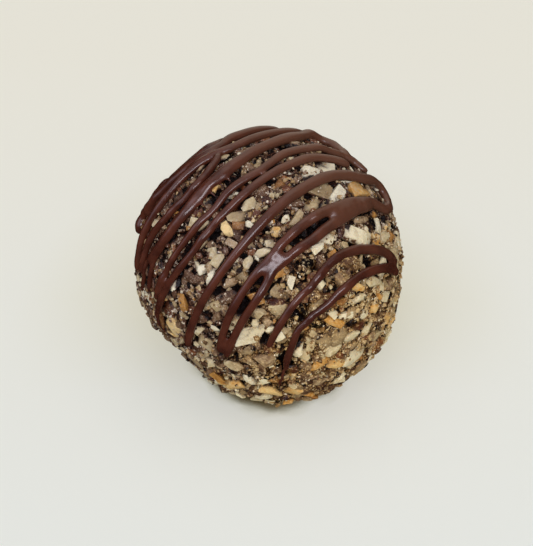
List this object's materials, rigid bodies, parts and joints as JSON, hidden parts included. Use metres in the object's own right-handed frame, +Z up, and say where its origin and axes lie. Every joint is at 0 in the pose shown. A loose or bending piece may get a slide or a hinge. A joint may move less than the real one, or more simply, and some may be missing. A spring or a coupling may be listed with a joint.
{
  "type": "bonbon",
  "caption": "Hand-rolled ball of chopped nuts bound with praline paste, drizzled with parallel strands of milk chocolate, resting on a small flat spot.",
  "frame": {"origin": "middle of the small flat spot that the ball rests on, at the table's surface", "axes": "+Z up. -Y towards the viewer's side. The drizzle strands lie in upright planes turned 41 degrees from +X towards +Y"},
  "size_m": [0.038, 0.0386, 0.0369],
  "materials": {
    "chopped_nuts": "rough chopped nuts and flakes in dull praline paste, with a few dark and golden bits",
    "milk_chocolate": "set milk chocolate, satin gloss"
  },
  "bodies": {
    "root": {"nut_ball": "chopped_nuts", "drizzle_right": "milk_chocolate", "drizzle_pair": "milk_chocolate", "drizzle_middle": "milk_chocolate", "drizzle_left": "milk_chocolate"}
  },
  "joints": []
}
